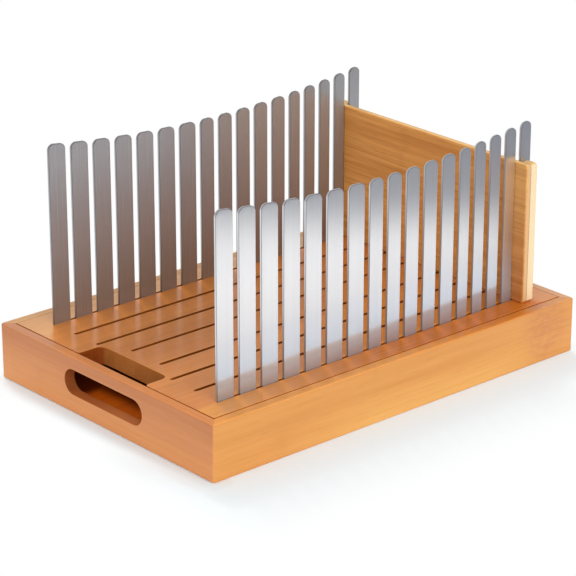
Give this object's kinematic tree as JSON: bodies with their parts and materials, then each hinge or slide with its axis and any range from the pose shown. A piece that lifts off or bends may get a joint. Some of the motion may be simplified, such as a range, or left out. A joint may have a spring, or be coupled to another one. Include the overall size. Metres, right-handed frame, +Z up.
{
  "type": "bread slicer guide",
  "caption": "Bamboo crumb tray with a lift-out slotted board, two facing rows of upright steel slats that guide a knife, and a lift-out stop board across one end.",
  "frame": {"origin": "centre of the footprint on the surface the tray stands on", "axes": "+X along the length from the hand hole end in the picture to the stop board end, +Y across the width, +Z up"},
  "size_m": [0.36, 0.248, 0.1847],
  "materials": {
    "tray_bamboo": "oiled bamboo",
    "board_bamboo": "oiled bamboo",
    "stop_bamboo": "oiled bamboo",
    "floor_ply": "thin bamboo ply",
    "steel": "brushed along the slat"
  },
  "bodies": {
    "tray": {"rail_front": "tray_bamboo", "rail_rear": "tray_bamboo", "rail_near": "tray_bamboo", "rail_far": "tray_bamboo", "floor_panel": "floor_ply"},
    "board": {"top_board": "board_bamboo", "slat_near_01": "steel", "slat_near_02": "steel", "slat_near_03": "steel", "slat_near_04": "steel", "slat_near_05": "steel", "slat_near_06": "steel", "slat_near_07": "steel", "slat_near_08": "steel", "slat_near_09": "steel", "slat_near_10": "steel", "slat_near_11": "steel", "slat_near_12": "steel", "slat_near_13": "steel", "slat_near_14": "steel", "slat_near_15": "steel", "slat_near_16": "steel", "slat_near_17": "steel", "slat_far_01": "steel", "slat_far_02": "steel", "slat_far_03": "steel", "slat_far_04": "steel", "slat_far_05": "steel", "slat_far_06": "steel", "slat_far_07": "steel", "slat_far_08": "steel", "slat_far_09": "steel", "slat_far_10": "steel", "slat_far_11": "steel", "slat_far_12": "steel", "slat_far_13": "steel", "slat_far_14": "steel", "slat_far_15": "steel", "slat_far_16": "steel", "slat_far_17": "steel"},
    "stop": {"stop_face": "stop_bamboo", "stop_end_near": "stop_bamboo", "stop_end_far": "stop_bamboo"}
  },
  "joints": [
    {"name": "board_lift", "type": "slide", "parent": "tray", "child": "board", "axis": [0, 0, 1], "range_m": [0, 0.05]},
    {"name": "stop_lift", "type": "slide", "parent": "board", "child": "stop", "axis": [0, 0, 1], "range_m": [0, 0.15]}
  ]
}
